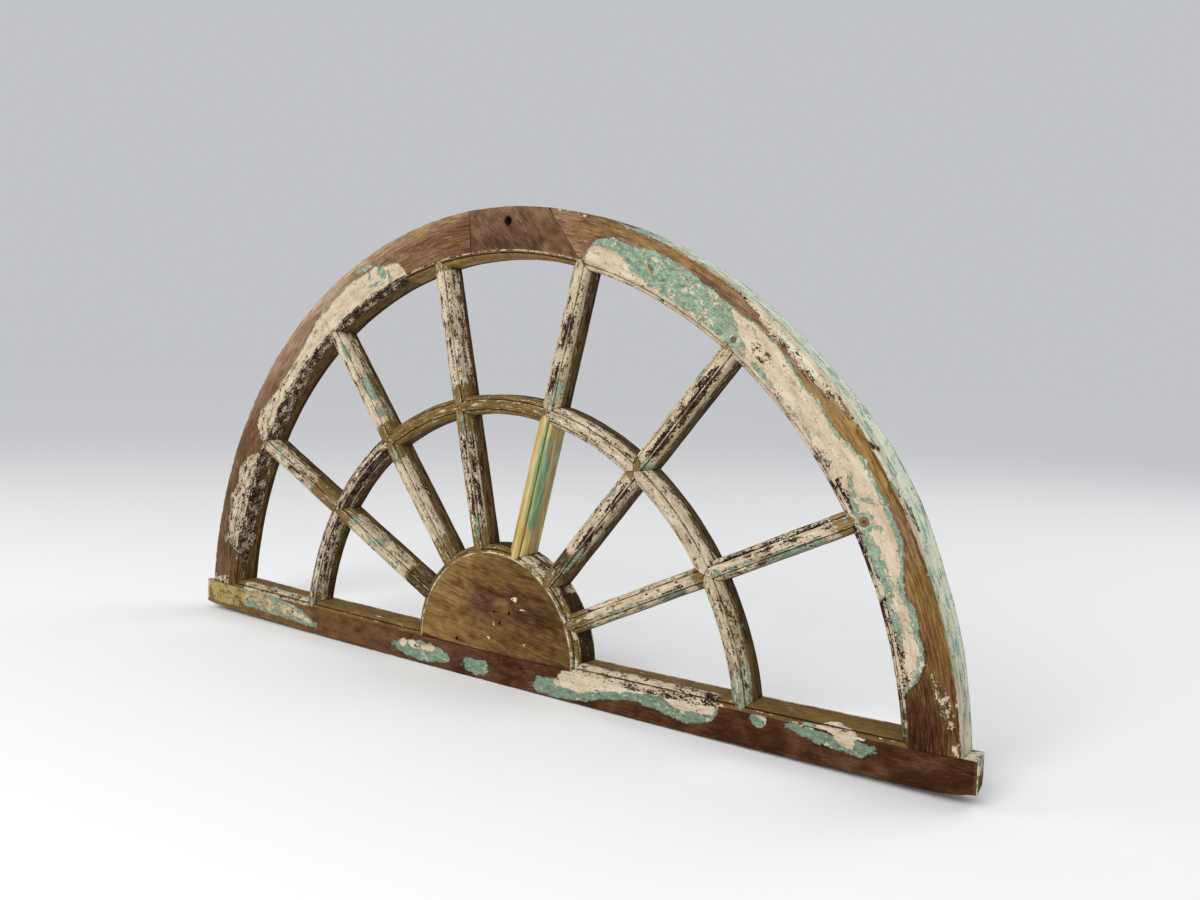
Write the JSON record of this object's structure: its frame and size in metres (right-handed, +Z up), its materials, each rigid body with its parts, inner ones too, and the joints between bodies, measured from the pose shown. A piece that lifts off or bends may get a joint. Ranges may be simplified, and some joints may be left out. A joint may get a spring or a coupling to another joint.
{
  "type": "fanlight window frame",
  "caption": "Half-round timber fanlight frame, unglazed: moulded arch on a straight rail, half-round hub, radial bars crossed by a curved ring, worn flaking paint.",
  "frame": {"origin": "middle of the rail's underside, half way through its thickness", "axes": "+Z up, +X along the rail to the right as seen from the front, the moulded front faces -Y"},
  "size_m": [1.432, 0.042, 0.6879],
  "materials": {
    "bare_rail": "bare reddish brown timber with remnants of cream and green paint",
    "bare_arch": "bare brown timber, sanded, with flaking cream paint along the inner edge",
    "bare_hub": "bare golden brown timber with dark stains and nail holes",
    "flaked_cream": "flaking cream paint over green paint and bare timber",
    "flaked_olive": "grimy olive brown timber with traces of green paint",
    "washed_green": "thin yellow and green paint rubbed over a smooth replacement bar",
    "peg_wood": "end grain of a peg, dark reddish brown"
  },
  "bodies": {
    "root": {"rail": "bare_rail", "hub": "bare_hub", "arch_left": "bare_arch", "arch_crown": "bare_arch", "arch_right": "flaked_cream", "spoke_inner_1": "flaked_cream", "spoke_inner_2": "flaked_cream", "spoke_inner_3": "flaked_cream", "spoke_inner_4": "washed_green", "spoke_inner_5": "flaked_cream", "spoke_inner_6": "flaked_cream", "spoke_outer_1": "flaked_cream", "spoke_outer_2": "flaked_cream", "spoke_outer_3": "flaked_cream", "spoke_outer_4": "flaked_cream", "spoke_outer_5": "flaked_cream", "spoke_outer_6": "flaked_cream", "ring_1": "flaked_cream", "ring_2": "flaked_cream", "ring_3": "flaked_olive", "ring_4": "flaked_olive", "ring_5": "flaked_cream", "ring_6": "flaked_cream", "ring_7": "flaked_cream", "peg_1": "peg_wood", "peg_2": "peg_wood"}
  },
  "joints": []
}
